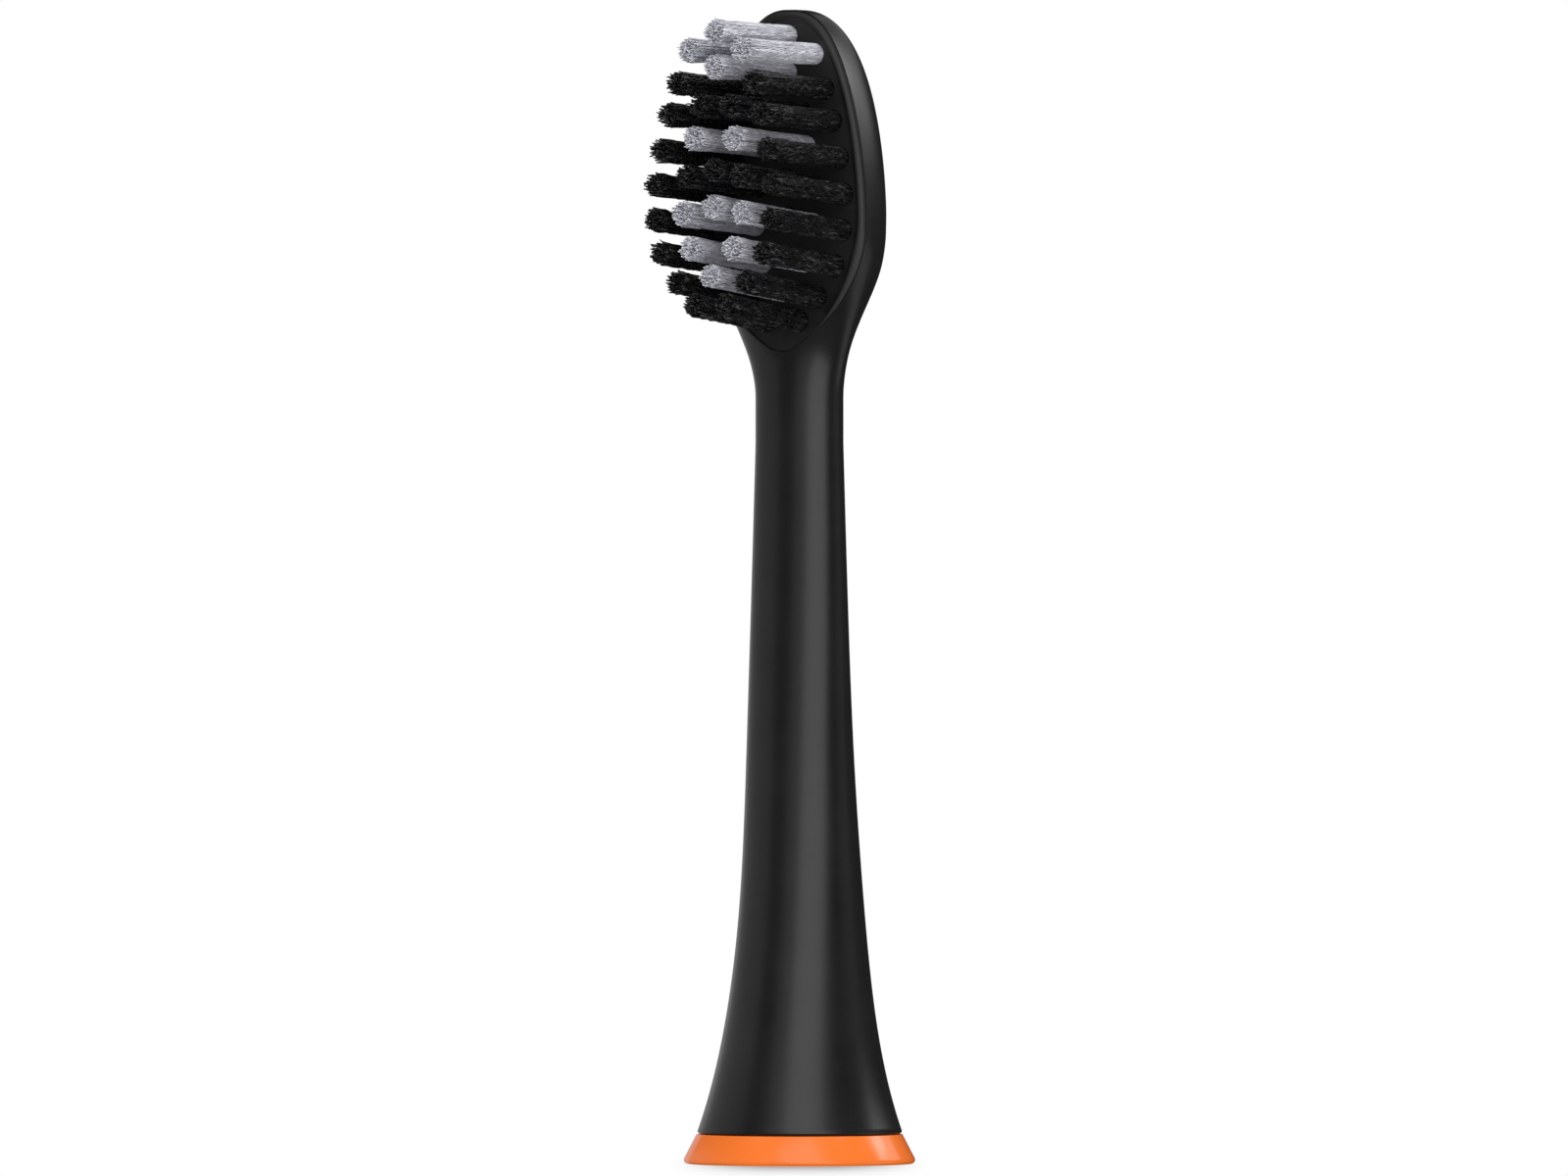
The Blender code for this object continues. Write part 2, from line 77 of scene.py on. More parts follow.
# Soft lights: name, the azimuths and elevations that each covers in degrees, radiance and roll.
# Azimuth counts rightwards from the camera's.
SOFTBOXES = (
    ("key", (-18, 30), (-28, 56), 1.26, 11),
    ("key_wide", (-41, 42), (-28, 56), 0.45, 11),
    ("left", (-150, -68), (-30, 24), 0.36, 18),
    ("back", (-180, -148), (-20, 50), 0.55, 0),
    ("rim", (96, 128), (15, 42), 1.5, 0),
    ("kicker", (126, 168), (20, 36), 0.45, 0),
    ("ring_glint", (100, 115), (25, 34), 4.0, 0),
    ("right_low", (68, 100), (-38, 12), 0.17, 0),
    ("low_back", (80, 110), (-42, -8), 0.46, 0),
)
TOP_LIGHT = ("top", (-40, 40), (-20, 20), 0.9, 0)
TOP_LIGHT_PLACE = (50 * MM, 550 * MM)
LIGHT_CENTRE_Z = 40.0 * MM
LIGHT_DISTANCE = 0.5

# How bright the white backdrop is to the camera, to matt surfaces and in reflections
BACKDROP_SEEN = 1.0
BACKDROP_FILL = 0.90
BACKDROP_REFLECTED = 0.035

# Contact shadow on the floor, across and along the camera's direction
FLOOR_RADIUS = 3.0
FLOOR_DROP = 0.02 * MM
SHADOW_HALF_WIDTH = 8.8 * MM
SHADOW_CORE = 1.5 * MM
SHADOW_LENGTH = 45.0 * MM
SHADOW_START = 7.5 * MM
SHADOW_POWER = 3.0
SHADOW_DEPTH = 0.60
SHADOW_INNER = 7.0 * MM
SHADOW_INNER_EDGE = 0.2 * MM

# Lower edge of the skirt, slightly lower and rounder than the CAD's
BODY_BOTTOM = 1.97 * MM
BODY_EDGE = 0.16 * MM

# Body curves, as the CAD has them
NECK_CONE_SIZE = 4.045 * MM
NECK_CONE_SLOPE = 0.02583
FLARE = 3.435 * MM
FLARE_LENGTH = 8.1 * MM
NECK_LEAST_SIZE = 2.85 * MM
NECK_SIZE_ANGLE = math.radians(30)
OVAL_START = 4.0 * MM
OVAL_FULL = 50.0 * MM
OVAL = 0.46
BOW = 0.30 * MM
BOW_MIDDLE = 16.0 * MM
BOW_SPAN = 9.5 * MM
HEAD_START = 49.6 * MM
HEAD_FULL = 60.3 * MM
HEAD_WIDEST = 61.1 * MM
HEAD_TOP = 74.75 * MM
HEAD_HALF_WIDTH = 6.07 * MM
CENTRE_BEHIND_FACE = 1.55 * MM
FRONT_START = 51.6 * MM
FRONT_FULL = 62.7 * MM
FRONT_DEPTH = 6.20 * MM
BACK_START = 52.2 * MM
BACK_FULL = 58.5 * MM
BACK_DEPTH = 4.14 * MM
BACK_TOP_DEPTH = 0.12 * MM
BACK_POWER = 2.3
CROWN_POWERS = (4.5, 0.56)
UPPER_POWERS = (1.58, 2.5)
LOWER_POWERS = (2.0, 1.42)
FACE_TOP = 74.54 * MM
FACE_TOP_Y = -1.60 * MM
FACE_SLOPE = 0.012
FACE_DISH = 0.00114 / MM

# Hollow of the skirt, as the CAD has it
MOUTH_RADIUS = 5.20 * MM
MOUTH_TOP = 4.45 * MM
FLANGE_SEAT_RADIUS = 4.42 * MM
FLANGE_SEAT_TOP = 6.05 * MM
SOCKET_BORE = 2.92 * MM
SOCKET_BORE_TOP = 19.2 * MM
KEYWAY_LOW = Vector((-0.55, -3.30, 5.60)) * MM
KEYWAY_HIGH = Vector((0.55, -2.35, 12.10)) * MM

# Foot ring: its sloping side, and the collar with its snap bead
RING_TOP = 1.92 * MM
RING_TOP_RADIUS = 6.70 * MM
RING_BORE = 4.40 * MM
RING_FILLET = 0.26 * MM
RING_LIP = 0.06 * MM
RING_FOOT_BEVEL = 0.25 * MM
COLLAR_RADIUS = 5.03 * MM
COLLAR_ROOT = 0.10 * MM
COLLAR_BEVEL = 0.15 * MM
BORE_BEVEL = 0.05 * MM
SNAP_BEAD = 0.08 * MM
BEAD_HEIGHT = 0.50 * MM

# Plate
PLATE_HALF_WIDTH = 5.92 * MM
PLATE_TOP = 74.64 * MM
PLATE_TIP = 52.62 * MM
PLATE_TIP_SHARE = 1.25
FIELD_INSET = 0.90 * MM
TIP_ROUND = 0.60 * MM
TIP_ROUND_START = 0.08 * MM
TIP_ROUND_END = 1.3 * MM
RIM_HEIGHT = 0.12 * MM
RIM_ROUND = 0.50 * MM
RIM_CREST = 0.448 * MM
# Inner side of the rim, as (inset from the outline, depth behind the face line) in millimetres
RIM_INNER_SIDE = ((0.62, 0.12), (0.57, 0.105), (0.53, 0.060), (0.49, 0.015))
RIM_STEPS = 10
RIM_FADE_START = 53.0 * MM
RIM_FADE_LENGTH = 6.0 * MM
RIM_TIP_SHARE = 0.04
FLANGE_BACK = 0.30 * MM
SPIGOT_INSET = 0.42 * MM
PLATE_BACK = 1.15 * MM
HOLE_RADIUS = 0.70 * MM
HOLE_SIDES = 32
SEAT_GAP = 0.025 * MM
EDGE_ROUND = 0.06 * MM
SEAT_BREAKOUT = 0.50 * MM
BREAKOUT_START = 58.0 * MM
BREAKOUT_LENGTH = 3.0 * MM
RECESS_BACK = 1.95 * MM

# Bristles
TUFT_LENGTH = 9.60 * MM
TUFT_RADIUS_MM = 0.64
ROD_TIP_ZONE = 0.12 * MM
ROD_FOOT_ZONE = 0.25 * MM
# Layers of a tuft from the outside in: (filaments, distance from the axis in mm, bends, crimp)
BLACK_LAYERS = (
    (38, 0.635, 18, 1.0),
    (36, 0.55, 18, 1.0),
    (30, 0.46, 10, 0.6),
    (24, 0.365, 4, 0.3),
    (17, 0.265, 4, 0.3),
    (11, 0.165, 4, 0.3),
    (4, 0.065, 4, 0.3),
)
SILVER_LAYERS = (
    (52, 0.645, 18, 0.50),
    (48, 0.575, 14, 0.45),
    (42, 0.50, 6, 0.3),
    (36, 0.42, 4, 0.3),
    (28, 0.335, 4, 0.3),
    (20, 0.245, 4, 0.3),
    (13, 0.155, 4, 0.3),
    (6, 0.065, 4, 0.3),
)
BLACK_RADIUS = 0.048 * MM
SILVER_RADIUS = 0.042 * MM
CRIMP = 0.055 * MM
CRIMP_TOP_GAP = 0.45 * MM
SPLAY = 0.10
FRAYS = (0.03, 0.06, 0.12)
STRAND_SIDES = 4

# Melted foot of a tuft, as (distance in mm, share of its radius) from its front to its back
FOOT_RADIUS = 0.80 * MM
FOOT_GAP = 0.10 * MM
FOOT_OVERLAP = 0.03 * MM
FOOT_PROFILE = ((0.0, 0.90), (-0.05, 0.98), (-0.12, 1.0), (-0.30, 1.0), (-0.38, 0.95), (-0.40, 0.86))
FOOT_SIDES = 28

# How finely the smooth shapes are divided
BODY_AROUND = 192
EDGE_LEVELS = 6
NECK_LEVELS = 80
NECK_LEVELS_POWER = 1.2
SHOULDER_LEVELS = 52
CROWN_LEVELS = 48
CROWN_END = math.radians(87.8)
CAVITY_SIDES = 96
RING_SIDES = 192
OUTLINE_POINTS = 240

FAR = 20 * MM
SEED = 7


# ---- small helpers -------------------------------------------------------------------------------

def smoothstep(share):
    share = min(max(share, 0.0), 1.0)
    return share * share * (3 - 2 * share)


def mix(a, b, share):
    return a + (b - a) * share


def mesh_object(name, bm, material=None, sharp_angle=35):
    bmesh.ops.recalc_face_normals(bm, faces=bm.faces)
    mesh = bpy.data.meshes.new(name)
    bm.to_mesh(mesh)
    bm.free()
    mesh.shade_smooth()
    mesh.set_sharp_from_angle(angle=math.radians(sharp_angle))
    obj = bpy.data.objects.new(name, mesh)
    bpy.context.scene.collection.objects.link(obj)
    if material:
        mesh.materials.append(material)
    return obj


def apply_modifiers(obj):
    bpy.context.view_layer.update()
    evaluated = obj.evaluated_get(bpy.context.evaluated_depsgraph_get())
    mesh = bpy.data.meshes.new_from_object(evaluated)
    obj.modifiers.clear()
    obj.data = mesh


def cut(obj, cutter):
    modifier = obj.modifiers.new(cutter.name, "BOOLEAN")
    modifier.operation = "DIFFERENCE"
    modifier.solver = "EXACT"
    modifier.object = cutter
    apply_modifiers(obj)
    bpy.data.objects.remove(cutter, do_unlink=True)


def soften_edges(obj, width, chosen):
    """Bevels the sharp edges whose middle passes the chosen test."""
    mesh = obj.data
    bm = bmesh.new()
    bm.from_mesh(mesh)
    weights = bm.edges.layers.float.new("bevel_weight_edge")
    for edge in bm.edges:
        if len(edge.link_faces) == 2 and chosen((edge.verts[0].co + edge.verts[1].co) / 2):
            edge[weights] = float(edge.calc_face_angle(0.0) > math.radians(35))
    bm.to_mesh(mesh)
    bm.free()
    modifier = obj.modifiers.new("soft_edges", "BEVEL")
    modifier.width = width
    modifier.segments = 3
    modifier.limit_method = "WEIGHT"
    modifier.use_clamp_overlap = True
    apply_modifiers(obj)


def loop_of(bm, points):
    return [bm.verts.new(point) for point in points]


def bridge(bm, first, second):
    count = len(first)
    for i in range(count):
        j = (i + 1) % count
        bm.faces.new((first[i], first[j], second[j], second[i]))


def lofted(loops):
    bm = bmesh.new()
    made = [loop_of(bm, loop) for loop in loops]
    for first, second in zip(made, made[1:]):
        bridge(bm, first, second)
    bm.faces.new(made[0])
    bm.faces.new(made[-1])
    return bm


def turned(profile, sides):
    """A closed ring, or a solid where the profile ends on the axis, from (radius, height) points."""
    bm = bmesh.new()
    verts = loop_of(bm, [Vector((radius, 0, z)) for radius, z in profile])
    pairs = list(zip(verts, verts[1:]))
    if min(radius for radius, _ in profile) > 0:
        pairs.append((verts[-1], verts[0]))
    edges = [bm.edges.new(pair) for pair in pairs]
    bmesh.ops.spin(
        bm, geom=verts + edges, axis=(0, 0, 1), cent=(0, 0, 0), angle=2 * math.pi,
        steps=sides, use_merge=True, use_duplicate=False,
    )
    bmesh.ops.remove_doubles(bm, verts=bm.verts, dist=1e-7)
    return bm


def ladder(bm, loop):
    """Fills a loop that is symmetric over X = 0 and starts at its top, with strips across X."""
    count = len(loop)
    half = count // 2
    bm.faces.new((loop[0], loop[1], loop[-1]))
    for i in range(1, half - 1):
        bm.faces.new((loop[i], loop[i + 1], loop[count - i - 1], loop[count - i]))
    bm.faces.new((loop[half - 1], loop[half], loop[half + 1]))


def block(low, high):
    bm = bmesh.new()
    bmesh.ops.create_cube(bm, size=1.0)
    bmesh.ops.scale(bm, vec=high - low, verts=bm.verts)
    bmesh.ops.translate(bm, vec=(low + high) / 2, verts=bm.verts)
    return bm


def oval_solid(rings):
    """A closed solid from (outline, depth function) rings, each filled across at its two ends."""
    bm = bmesh.new()
    made = [loop_of(bm, [(x, depth(x, z), z) for x, z in outline]) for outline, depth in rings]
    for first, second in zip(made, made[1:]):
        bridge(bm, first, second)
    ladder(bm, made[0])
    ladder(bm, made[-1])
    return bm


# ---- curves of the head and neck -----------------------------------------------------------------

def face_y(z):
    below = FACE_TOP - z
    return FACE_TOP_Y - FACE_SLOPE * below - FACE_DISH * below * below


def behind_face(distance):
    return lambda x, z: face_y(z) + distance


def tip_rounding(z):
    """Half width that blunts the sharp V at the plate's lower end, and fades away above it."""
    above_tip = z - PLATE_TIP
    start = math.sqrt(min(1.0, above_tip / TIP_ROUND_START))
    return TIP_ROUND * start * math.exp(-((above_tip / TIP_ROUND_END) ** 2))


def plate_outline(inset=0.0, spread=None):
    """(x, z) points of the plate's egg shape, moved inwards by inset and outwards by spread(z).

    The inset is a length, or a function of z that gives one.
    """
    quarter = OUTLINE_POINTS // 4
    right = []
    for i in range(2 * quarter + 1):
        angle = math.pi / 2 * (1 - i / quarter)
        upper = angle >= 0
        powers = UPPER_POWERS if upper else LOWER_POWERS
        reach = PLATE_TOP - HEAD_WIDEST if upper else HEAD_WIDEST - PLATE_TIP
        along = math.copysign(abs(math.sin(angle)) ** (2 / powers[0]), angle)
        across = max(math.cos(angle), 0.0) ** (2 / powers[1])
        level = HEAD_WIDEST + reach * along
        outwards = -(inset(level) if callable(inset) else inset)
        if spread:
            outwards += spread(level)
        reach += outwards * (1.0 if upper else PLATE_TIP_SHARE)
        x = math.hypot((PLATE_HALF_WIDTH + outwards) * across, tip_rounding(level))
        right.append((x, HEAD_WIDEST + reach * along))
    right[0] = (0.0, right[0][1])
    right[-1] = (0.0, right[-1][1])
    left = [(-x, z) for x, z in right[-2:0:-1]]
    return right + left


def outline_half_width(z):
    """Half width of the plate's outline below its widest level."""
    below = min(max((HEAD_WIDEST - z) / (HEAD_WIDEST - PLATE_TIP), 0.0), 1.0)
    return PLATE_HALF_WIDTH * (1 - below ** LOWER_POWERS[0]) ** (1 / LOWER_POWERS[1])


def rim_fade(z):
    """The rim's outer round dies away towards the V, where the rim lies flush with the neck."""
    return smoothstep((z - RIM_FADE_START) / RIM_FADE_LENGTH)


def rim_depth(distance):
    """The rim's round lies distance behind the face line, and nowhere stands out of the body."""
    return lambda x, z: max(face_y(z) + distance * rim_fade(z), body_front(x, z))


def rim_inset(inset):
    """The rim also gets narrower towards the V."""
    return lambda z: inset * mix(RIM_TIP_SHARE, 1.0, rim_fade(z))


def rim_reach(z):
    """How far the rim's outer edge must move out to meet the body's surface."""
    if z > HEAD_WIDEST:
        return 0.0
    shoulder = RIM_ROUND * (1 - math.sqrt(1 - (RIM_CREST / RIM_ROUND) ** 2)) * rim_fade(z)
    gap = body_half_width(z, face_y(z) + shoulder) - outline_half_width(z)
    step = 0.01 * MM
    slope = (outline_half_width(z + step) - outline_half_width(z - step)) / (2 * step)
    near_tip = smoothstep((z - RIM_FADE_START) / (1.5 * MM))
    return max(0.0, gap) * near_tip / math.hypot(1.0, slope)


def seat_spread(z):
    breakout = smoothstep((z - BREAKOUT_START) / BREAKOUT_LENGTH)
    return rim_reach(z) + SEAT_GAP + SEAT_BREAKOUT * breakout


def neck_half_axes(z):
    size = NECK_CONE_SIZE - NECK_CONE_SLOPE * z + FLARE * math.exp(-z / FLARE_LENGTH)
    size = max(size, NECK_LEAST_SIZE)
    ratio = 1 + OVAL * smoothstep((z - OVAL_START) / (OVAL_FULL - OVAL_START))
    depth = size / math.hypot(ratio * math.cos(NECK_SIZE_ANGLE), math.sin(NECK_SIZE_ANGLE))
    return ratio * depth, depth


def body_shape(z):
    """Half width, centre, front and back depth and back power of the body at a level."""
    neck_width, neck_depth = neck_half_axes(z)
    bow = BOW * math.exp(-(((z - BOW_MIDDLE) / BOW_SPAN) ** 2))
    above = max(0.0, (z - HEAD_WIDEST) / (HEAD_TOP - HEAD_WIDEST))
    narrowing = (1 - above ** UPPER_POWERS[0]) ** (1 / UPPER_POWERS[1])
    crown = (1 - above ** CROWN_POWERS[0]) ** CROWN_POWERS[1]
    head_share = smoothstep((z - HEAD_START) / (HEAD_FULL - HEAD_START))
    front_share = smoothstep((z - FRONT_START) / (FRONT_FULL - FRONT_START))
    back_share = smoothstep((z - BACK_START) / (BACK_FULL - BACK_START))
    half_width = mix(neck_width, HEAD_HALF_WIDTH, head_share) * narrowing
    centre = mix(bow, face_y(z) + CENTRE_BEHIND_FACE, head_share)
    front = mix(neck_depth, FRONT_DEPTH, front_share)
    back = mix(neck_depth, BACK_DEPTH * crown + BACK_TOP_DEPTH, back_share)
    return half_width, centre, front, back, mix(2.0, BACK_POWER, back_share)


def body_half_width(z, y):
    """Half width of the body's front half at height z and depth y."""
    half_width, centre, front, _, _ = body_shape(z)
    share = min(max((centre - y) / front, 0.0), 1.0)
    return half_width * math.sqrt(1 - share * share)


def body_front(x, z):
    """Y of the body's front surface."""
    half_width, centre, front, _, _ = body_shape(z)
    share = min(abs(x) / half_width, 1.0)
    return centre - front * math.sqrt(1 - share * share)


def body_section(z):
    half_width, centre, front, back, back_power = body_shape(z)
    points = []
    for i in range(BODY_AROUND):
        angle = 2 * math.pi * i / BODY_AROUND
        c, s = math.cos(angle), math.sin(angle)
        depth, power = (back, back_power) if s >= 0 else (front, 2.0)
        x = half_width * math.copysign(abs(c) ** (2 / power), c)
        y = centre + depth * math.copysign(abs(s) ** (2 / power), s)
        points.append((x, y, z))
    return points


# ---- materials -----------------------------------------------------------------------------------

class Nodes:
    """Short calls for building one material's node tree."""

    def __init__(self, name):
        self.material = bpy.data.materials.new(name)
        self.material.use_nodes = True
        self.tree = self.material.node_tree
        self.shader = self.tree.nodes["Principled BSDF"]

    def add(self, kind, **values):
        node = self.tree.nodes.new(kind)
        for key, value in values.items():
            if key in node.inputs:
                node.inputs[key].default_value = value
            else:
                setattr(node, key, value)
        return node

    def link(self, source, output, target, socket):
        self.tree.links.new(source.outputs[output], target.inputs[socket])

    def place(self):
        return self.add("ShaderNodeTexCoord")

    def noise(self, scale, detail):
        node = self.add("ShaderNodeTexNoise", Scale=scale, Detail=detail)
        self.link(self.place(), "Object", node, "Vector")
        return node

    def ramp(self, source, output, stops):
        node = self.add("ShaderNodeValToRGB")
        elements = node.color_ramp.elements
        while len(elements) < len(stops):
            elements.new(0.5)
        for element, (position, colour) in zip(elements, stops):
            element.position = position
            element.color = (*colour, 1.0)
        self.link(source, output, node, "Fac")
        return node

    def span(self, source, output, low, high):
        """Maps a 0 to 1 value to low to high."""
        node = self.add("ShaderNodeMapRange")
        node.inputs["To Min"].default_value = low
        node.inputs["To Max"].default_value = high
        self.link(source, output, node, "Value")
        return node

    def maths(self, operation, source, output, number=0.0):
        node = self.add("ShaderNodeMath", operation=operation)
        self.link(source, output, node, 0)
        node.inputs[1].default_value = number
        return node

    def product(self, first, first_output, second, second_output):
        node = self.add("ShaderNodeMath", operation="MULTIPLY")
        self.link(first, first_output, node, 0)
        self.link(second, second_output, node, 1)
        return node

    def fade(self, source, output, zero_at, one_at, curve="LINEAR"):
        """Goes from 0 to 1 as the size of a coordinate goes from zero_at to one_at."""
        size = self.maths("ABSOLUTE", source, output)
        node = self.add("ShaderNodeMapRange", interpolation_type=curve)
        node.inputs["From Min"].default_value = zero_at
        node.inputs["From Max"].default_value = one_at
        self.link(size, "Value", node, "Value")
        return node

    def bump(self, sources):
        """Chains bumps from (noise node, strength, distance) and joins the last to the shader."""
        last = None
        for node, strength, distance in sources:
            one = self.add("ShaderNodeBump", Strength=strength, Distance=distance)
            self.link(node, "Fac", one, "Height")
            if last:
                self.link(last, "Normal", one, "Normal")
            last = one
        self.link(last, "Normal", self.shader, "Normal")

    def set(self, **values):
        for key, value in values.items():
            self.shader.inputs[key.replace("_", " ")].default_value = value


def moulded_plastic(name, dark, light, roughness, grain_scale, grain_depth, specular=0.5):
    """Spark-eroded mould texture: a fine grain in the bump, and a slow drift in colour and gloss."""
    m = Nodes(name)
    drift = m.noise(260, 2.0)
    m.link(m.ramp(drift, "Fac", ((0.35, dark), (0.65, light))), "Color", m.shader, "Base Color")
    fine = m.noise(900, 4.0)
    spread = m.span(fine, "Fac", roughness - 0.035, roughness + 0.035)
    m.link(spread, "Result", m.shader, "Roughness")
    m.bump(((m.noise(grain_scale, 2.0), 0.35, grain_depth), (m.noise(520, 1.0), 0.2, 0.006 * MM)))
    m.shader.inputs["Specular IOR Level"].default_value = specular
    return m.material


def nylon(name, stops, roughness, specular):
    """Bristle filament: its shade differs from strand to strand and, as painted glints, in dashes
    along each strand, with faint drawing lines along it.
    """
    m = Nodes(name)
    strand = m.add("ShaderNodeAttribute", attribute_name="strand")
    m.link(m.ramp(strand, "Fac", stops), "Color", m.shader, "Base Color")
    fine = m.noise(6000, 2.0)
    m.link(m.span(fine, "Fac", roughness - 0.06, roughness + 0.06), "Result", m.shader, "Roughness")
    m.bump(((fine, 0.25, 0.004 * MM),))
    m.shader.inputs["Specular IOR Level"].default_value = specular
    return m.material


def steel(name):
    """Cold-rolled strip: bright metal with rolling lines along its length."""
    m = Nodes(name)
    m.set(Metallic=1.0)
    stretched = m.add("ShaderNodeMapping")
    stretched.inputs["Scale"].default_value = (9000, 9000, 350)
    m.link(m.place(), "Object", stretched, "Vector")
    lines = m.add("ShaderNodeTexNoise", Scale=1.0, Detail=2.0)
    m.link(stretched, "Vector", lines, "Vector")
    shades = m.ramp(lines, "Fac", ((0.3, (0.46, 0.47, 0.48)), (0.7, (0.62, 0.62, 0.63))))
    m.link(shades, "Color", m.shader, "Base Color")
    m.link(m.span(lines, "Fac", 0.22, 0.40), "Result", m.shader, "Roughness")
    m.bump(((lines, 0.3, 0.002 * MM),))
    return m.material


def make_materials():
    """One material for each slot of the record."""
    # The ramps run from the filaments' own tones up to bright stops that are painted glints, which the
    # dashes along each filament reach.
    silver_tones_and_glints = ((0.0, (0.29, 0.29, 0.33)), (0.5, (0.47, 0.47, 0.52)), (1.0, (0.80, 0.80, 0.85)))
    black_tones_and_glints = (
        (0.0, (0.004, 0.004, 0.0045)),
        (0.5, (0.008, 0.008, 0.009)),
        (0.75, (0.022, 0.022, 0.023)),
        (1.0, (0.080, 0.080, 0.083)),
    )
    return {
        "body": moulded_plastic(
            "satin_black", (0.0054, 0.0054, 0.0059), (0.0072, 0.0072, 0.0078), 0.30, 7000, 0.004 * MM
        ),
        "plate": moulded_plastic(
            "matte_black", (0.0042, 0.0042, 0.0043), (0.0056, 0.0056, 0.0058), 0.46, 9000, 0.006 * MM
        ),
        "ring": moulded_plastic(
            "orange_gloss", (0.64, 0.130, 0.0150), (0.68, 0.138, 0.0170), 0.19, 7000, 0.002 * MM, 0.45
        ),
        "socket": moulded_plastic(
            "natural_acetal", (0.60, 0.60, 0.57), (0.68, 0.68, 0.65), 0.42, 6000, 0.004 * MM
        ),
        "silver_bristle": nylon("silver_nylon", silver_tones_and_glints, 0.36, 0.6),
        "black_bristle": nylon("black_nylon", black_tones_and_glints, 0.27, 0.6),
        "clip": steel("rolled_steel"),
    }


# ---- body ----------------------------------------------------------------------------------------

def body_loops():
    """Levels of the body's outside: its rounded lower edge, the skirt and neck, and the head."""
    loops = []
    bottom = BODY_BOTTOM + BODY_EDGE
    lowest = body_section(bottom)
    radius = max(x for x, _, _ in lowest)
    for i in range(EDGE_LEVELS):
        angle = math.pi / 2 * (1 - i / EDGE_LEVELS)
        scale = 1 - BODY_EDGE * (1 - math.cos(angle)) / radius
        z = bottom - BODY_EDGE * math.sin(angle)
        loops.append([(x * scale, y * scale, z) for x, y, _ in lowest])
    for i in range(NECK_LEVELS):
        share = (i / NECK_LEVELS) ** NECK_LEVELS_POWER
        loops.append(body_section(bottom + (HEAD_START - bottom) * share))
    for i in range(SHOULDER_LEVELS + 1):
        loops.append(body_section(mix(HEAD_START, HEAD_WIDEST, i / SHOULDER_LEVELS)))
    for i in range(1, CROWN_LEVELS + 1):
        angle = CROWN_END * i / CROWN_LEVELS
        z = HEAD_WIDEST + (HEAD_TOP - HEAD_WIDEST) * math.sin(angle) ** (2 / UPPER_POWERS[0])
        loops.append(body_section(z))
    return loops


def face_cutter(outline, distance):
    """Cuts away all that lies in front of a face at a distance behind the face line."""
    rings = [(outline, behind_face(-FAR)), (outline, behind_face(distance))]
    return mesh_object("face_cutter", oval_solid(rings))


def on_v_edge(point):
    """True on the edge where the body meets the plate's V."""
    return point.z < BREAKOUT_START and point.y < face_y(point.z) + 0.15 * MM


def make_body(material):
    body = mesh_object("body_shell", lofted(body_loops()), material, sharp_angle=50)
    cavity = (
        (0, 0),
        (MOUTH_RADIUS, 0),
        (MOUTH_RADIUS, MOUTH_TOP),
        (FLANGE_SEAT_RADIUS, MOUTH_TOP),
        (FLANGE_SEAT_RADIUS, FLANGE_SEAT_TOP),
        (SOCKET_BORE, FLANGE_SEAT_TOP),
        (SOCKET_BORE, SOCKET_BORE_TOP),
        (0, SOCKET_BORE_TOP),
    )
    cut(body, mesh_object("cutter_cavity", turned(cavity, CAVITY_SIDES)))
    cut(body, mesh_object("cutter_keyway", block(KEYWAY_LOW, KEYWAY_HIGH)))
    cut(body, face_cutter(plate_outline(spread=seat_spread), FLANGE_BACK + SEAT_GAP))
    cut(body, face_cutter(plate_outline(SPIGOT_INSET - SEAT_GAP), RECESS_BACK))
    soften_edges(body, EDGE_ROUND, on_v_edge)
    body.data.shade_smooth()
    body.data.set_sharp_from_angle(angle=math.radians(60))
    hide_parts("brush_body")
    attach(body, HEAD_BODY)


# ---- bristle plate and tufts ---------------------------------------------------------------------

def tuft_axis(node):
    """Root on the plate's field and bristle direction, from the CAD rod's two ends."""
    points = [v.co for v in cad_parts[node].data.vertices]
    front = min(p.y for p in points)
    back = max(p.y for p in points)
    tip_ring = [p for p in points if p.y < front + ROD_TIP_ZONE]
    foot_ring = [p for p in points if p.y > back - ROD_FOOT_ZONE]
    tip = sum(tip_ring, Vector()) / len(tip_ring)
    foot = sum(foot_ring, Vector()) / len(foot_ring)
    direction = (tip - foot).normalized()
    return tip - direction * TUFT_LENGTH, direction


def plate_rings():
    """The plate's outline at each depth: field, rim, flange and spigot."""
    rings = [(plate_outline(FIELD_INSET), behind_face(RIM_HEIGHT))]
    for inset, depth in RIM_INNER_SIDE:
        rings.append((plate_outline(rim_inset(inset * MM)), behind_face(depth * MM)))
    # The rim's outer round, from its crest out to the edge, where it meets the body
    end = math.asin(RIM_CREST / RIM_ROUND)
    for i in range(RIM_STEPS + 1):
        angle = end * i / RIM_STEPS
        inset = RIM_CREST - RIM_ROUND * math.sin(angle)
        depth = RIM_ROUND * (1 - math.cos(angle))
        share = (i / RIM_STEPS) ** 2
        outline = plate_outline(rim_inset(inset), lambda z, share=share: share * rim_reach(z))
        rings.append((outline, rim_depth(depth)))
    return rings + [
        (plate_outline(0.0, rim_reach), behind_face(FLANGE_BACK)),
        (plate_outline(SPIGOT_INSET), behind_face(FLANGE_BACK)),
        (plate_outline(SPIGOT_INSET), behind_face(PLATE_BACK)),
    ]


